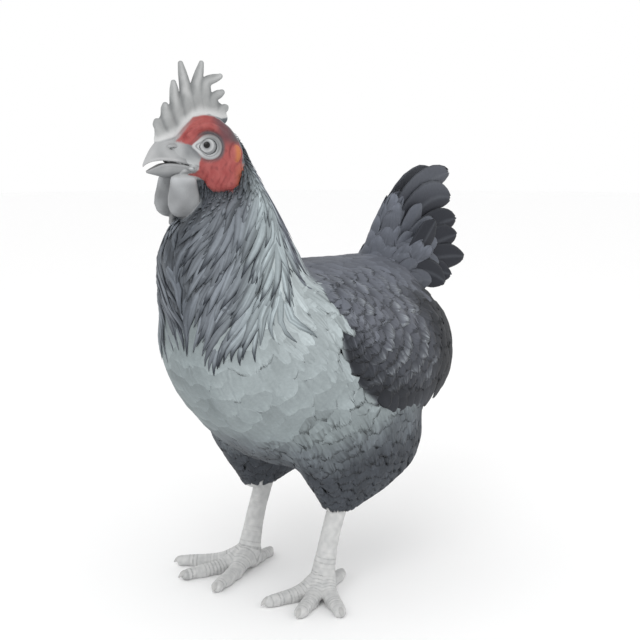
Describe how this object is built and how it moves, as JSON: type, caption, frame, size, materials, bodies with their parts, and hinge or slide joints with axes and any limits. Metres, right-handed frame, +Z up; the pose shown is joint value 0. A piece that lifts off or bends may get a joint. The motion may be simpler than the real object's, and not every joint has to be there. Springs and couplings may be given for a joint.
{
  "type": "chicken",
  "caption": "Standing chicken with a tall single comb, wattles, full hackle, folded wings and an upright fan tail; a still life-size animal figure that rests on its flat toe pads",
  "frame": {"origin": "middle of the bounding box at floor level, under the body between the two feet", "axes": "+Z up from the floor, the bird faces -Y, its left side is at +X"},
  "size_m": [0.194, 0.3502, 0.4436],
  "materials": {
    "body_feathers": "soft matt feathers, pale blue-grey",
    "hackle_feathers": "soft satin feathers, grey with slate edges",
    "wing_feathers": "satin feathers, slate grey laced with pale grey",
    "tail_feathers": "satin feathers, dark slate",
    "face_skin": "bare wrinkled red skin",
    "comb_skin": "smooth matt pale grey skin",
    "leg_scales": "fine scaled pale grey skin",
    "bill": "satin grey horn",
    "claw": "satin grey horn",
    "eye": "glossy pale eye with a round dark pupil"
  },
  "bodies": {
    "root": {"bill_lower": "bill", "bill_upper": "bill", "claw_hind_l": "claw", "claw_hind_r": "claw", "claw_inner_l": "claw", "claw_inner_r": "claw", "claw_middle_l": "claw", "claw_middle_r": "claw", "claw_outer_l": "claw", "claw_outer_r": "claw", "comb": "comb_skin", "ear_lobe_l": "face_skin", "ear_lobe_r": "face_skin", "eye_l": "eye", "eye_r": "eye", "flight_l": "wing_feathers", "flight_r": "wing_feathers", "head": "face_skin", "neck": "hackle_feathers", "rump": "body_feathers", "shank_l": "leg_scales", "shank_r": "leg_scales", "tail_1_l": "tail_feathers", "tail_1_r": "tail_feathers", "tail_2_l": "tail_feathers", "tail_2_r": "tail_feathers", "tail_3_l": "tail_feathers", "tail_3_r": "tail_feathers", "tail_4_l": "tail_feathers", "tail_4_r": "tail_feathers", "tail_5_l": "tail_feathers", "tail_5_r": "tail_feathers", "tail_6_l": "tail_feathers", "tail_6_r": "tail_feathers", "tail_covert_1_l": "tail_feathers", "tail_covert_1_r": "tail_feathers", "tail_covert_2_l": "tail_feathers", "tail_covert_2_r": "tail_feathers", "tail_front_l": "tail_feathers", "tail_front_r": "tail_feathers", "thigh_l": "body_feathers", "thigh_r": "body_feathers", "toes_l": "leg_scales", "toes_r": "leg_scales", "trunk": "body_feathers", "wattle_l": "comb_skin", "wattle_r": "comb_skin", "wing_l": "wing_feathers", "wing_r": "wing_feathers"}
  },
  "joints": []
}
